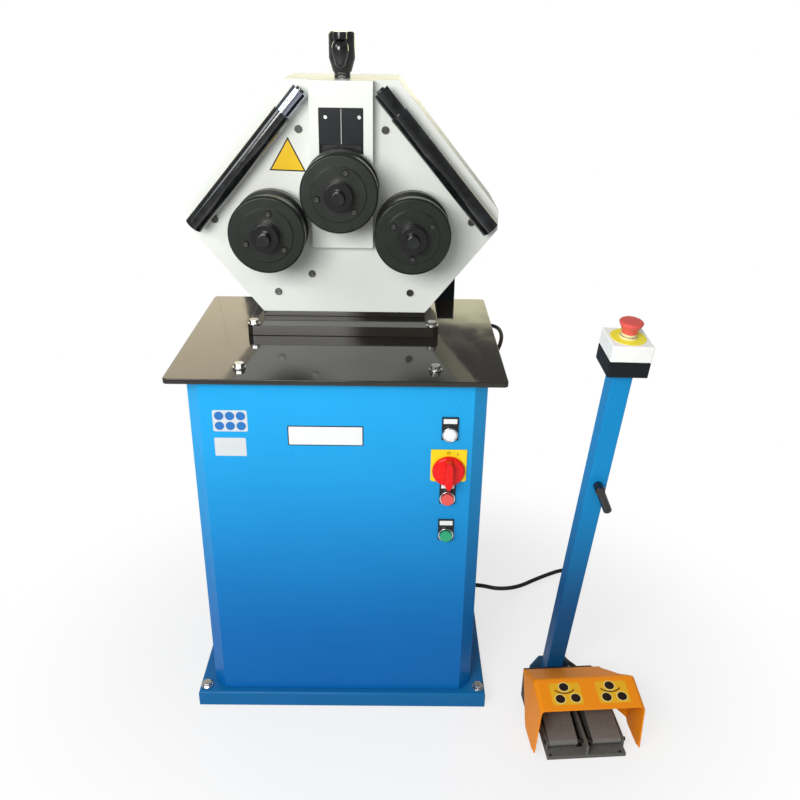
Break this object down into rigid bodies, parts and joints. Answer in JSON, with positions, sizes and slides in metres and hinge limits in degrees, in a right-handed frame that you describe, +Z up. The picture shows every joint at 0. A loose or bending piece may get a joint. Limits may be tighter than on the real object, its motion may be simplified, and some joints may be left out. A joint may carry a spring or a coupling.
{
  "type": "ring roller",
  "caption": "Powered ring roller: cabinet on a plinth, head with three driven and pressing rollers, crank-set slide, guide bars, and a twin foot switch with an emergency-stop post.",
  "frame": {"origin": "centre of the plinth's underside, on the floor", "axes": "+X to the operator's right, +Y away from the operator, +Z up; the roller axes run along Y"},
  "size_m": [0.9089, 0.7696, 1.297],
  "materials": {
    "cabinet_blue": "satin blue paint",
    "cabinet_dark": "satin dark blue paint",
    "table_black": "gloss black paint",
    "bezel_metal": "bright plated",
    "head_white": "satin white paint",
    "bright_steel": "machined",
    "bearing_steel": "ground",
    "ring_steel": "turned bright",
    "black_steel": "blackened, semi-gloss",
    "zinc": "zinc plated",
    "cast_grey": "painted grey",
    "light_plastic": "light grey plastic",
    "black_plastic": "black plastic",
    "lamp_lens": "clear white lens",
    "button_red": "red plastic",
    "button_green": "green plastic",
    "plate_yellow": "yellow plastic",
    "pedal_grey": "grey plastic",
    "hood_orange": "orange paint",
    "cable_black": "black sheath"
  },
  "bodies": {
    "machine": {"plinth": "cabinet_dark", "cabinet_shell": "cabinet_blue", "table_plate": "table_black", "hex_bolts": "bright_steel", "door_hinges": "bright_steel", "electrics_tray": "zinc", "legend_holders": "black_plastic", "pilot_lamp": "lamp_lens", "switch_plate": "plate_yellow", "control_bodies": "bezel_metal", "base_flange": "table_black", "riser_plate": "table_black", "front_plate": "head_white", "back_plate": "head_white", "head_covers": "head_white", "tie_rods": "bright_steel", "plate_screws": "black_steel", "shaft_bearings": "bearing_steel", "slide_frame": "head_white", "slide_gibs": "black_steel", "screw_carrier": "bearing_steel", "gearbox": "cast_grey", "motor": "cast_grey", "terminal_box": "black_plastic", "guide_bars": "black_steel", "pedal_base": "pedal_grey", "pedal_pin": "bright_steel", "pedal_hood": "hood_orange", "post_bracket": "cabinet_dark", "stop_post": "cabinet_blue", "stop_box_base": "black_plastic", "stop_box_lid": "light_plastic", "cable_glands": "black_plastic", "pedal_cord": "cable_black", "motor_cable": "cable_black"},
    "door": {"rear_door": "cabinet_blue"},
    "switch": {"switch_knob": "button_red"},
    "stop_push": {"stop_button": "button_red"},
    "start_push": {"start_button": "button_green"},
    "emergency_stop": {"stop_mushroom": "button_red"},
    "clamp": {"clamp_lever": "black_plastic"},
    "crank": {"lead_screw": "bright_steel", "crank_hub": "black_steel"},
    "crank_grip": {"crank_knob": "black_plastic"},
    "slide": {"slide_block": "bearing_steel", "upper_bearings": "bearing_steel"},
    "upper_roller": {"upper_shaft": "bright_steel", "upper_discs": "black_steel", "upper_ring": "ring_steel"},
    "left_roller": {"left_shaft": "bright_steel", "left_discs": "black_steel", "left_ring": "ring_steel", "left_gear": "bearing_steel"},
    "right_roller": {"right_shaft": "bright_steel", "right_discs": "black_steel", "right_ring": "ring_steel", "right_gear": "bearing_steel"},
    "pinion": {"drive_pinion": "bearing_steel"},
    "left_treadle": {"left_pedal": "pedal_grey"},
    "right_treadle": {"right_pedal": "pedal_grey"}
  },
  "joints": [
    {"name": "door_hinge", "type": "hinge", "parent": "machine", "child": "door", "pos_m": [-0.213, 0.221, 0.335], "axis": [0, 0, 1], "range_deg": [0, 110]},
    {"name": "switch_turn", "type": "hinge", "parent": "machine", "child": "switch", "pos_m": [0.203, -0.216, 0.565], "axis": [0, 1, 0], "range_deg": [0, 45]},
    {"name": "stop_press", "type": "slide", "parent": "machine", "child": "stop_push", "axis": [0, 1, 0], "range_m": [0, 0.004], "stiffness_N_per_m": 600},
    {"name": "start_press", "type": "slide", "parent": "machine", "child": "start_push", "axis": [0, 1, 0], "range_m": [0, 0.004], "stiffness_N_per_m": 600},
    {"name": "emergency_press", "type": "slide", "parent": "machine", "child": "emergency_stop", "axis": [-0.0489, 0.1256, -0.9909], "range_m": [0, 0.004], "stiffness_N_per_m": 900},
    {"name": "clamp_turn", "type": "hinge", "parent": "machine", "child": "clamp", "pos_m": [0.47444, -0.23941, 0.55066], "axis": [0.0657, -0.9895, -0.1287], "range_deg": [0, 90]},
    {"name": "crank_turn", "type": "hinge", "parent": "machine", "child": "crank", "pos_m": [0, 0.084, 1.2], "axis": [0, 0, 1], "range_deg": [-720, 2880]},
    {"name": "grip_spin", "type": "hinge", "parent": "crank", "child": "crank_grip", "pos_m": [0, 0.03, 1.265], "axis": [0, 0, 1], "continuous": true},
    {"name": "slide_travel", "type": "slide", "parent": "machine", "child": "slide", "axis": [0, 0, 1], "range_m": [-0.01, 0.04]},
    {"name": "upper_spin", "type": "hinge", "parent": "slide", "child": "upper_roller", "pos_m": [0, 0, 1.035], "axis": [0, 1, 0], "continuous": true},
    {"name": "left_spin", "type": "hinge", "parent": "machine", "child": "left_roller", "pos_m": [-0.132, 0, 0.9605], "axis": [0, 1, 0], "continuous": true},
    {"name": "right_spin", "type": "hinge", "parent": "machine", "child": "right_roller", "pos_m": [0.132, 0, 0.9605], "axis": [0, 1, 0], "continuous": true},
    {"name": "pinion_spin", "type": "hinge", "parent": "machine", "child": "pinion", "pos_m": [0, 0.18, 0.9605], "axis": [0, 1, 0], "continuous": true},
    {"name": "left_press", "type": "hinge", "parent": "machine", "child": "left_treadle", "pos_m": [0.4431, -0.33821, 0.022], "axis": [-0.9974, -0.0715, 0], "range_deg": [0, 8], "stiffness_Nm_per_rad": 20},
    {"name": "right_press", "type": "hinge", "parent": "machine", "child": "right_treadle", "pos_m": [0.53087, -0.33192, 0.022], "axis": [-0.9974, -0.0715, 0], "range_deg": [0, 8], "stiffness_Nm_per_rad": 20}
  ],
  "couplings": [
    {"joint": "crank_turn", "follows": "slide_travel", "rad_per_m": 1256.6},
    {"joint": "right_spin", "follows": "left_spin", "ratio": 1},
    {"joint": "pinion_spin", "follows": "left_spin", "ratio": -2.1429}
  ]
}
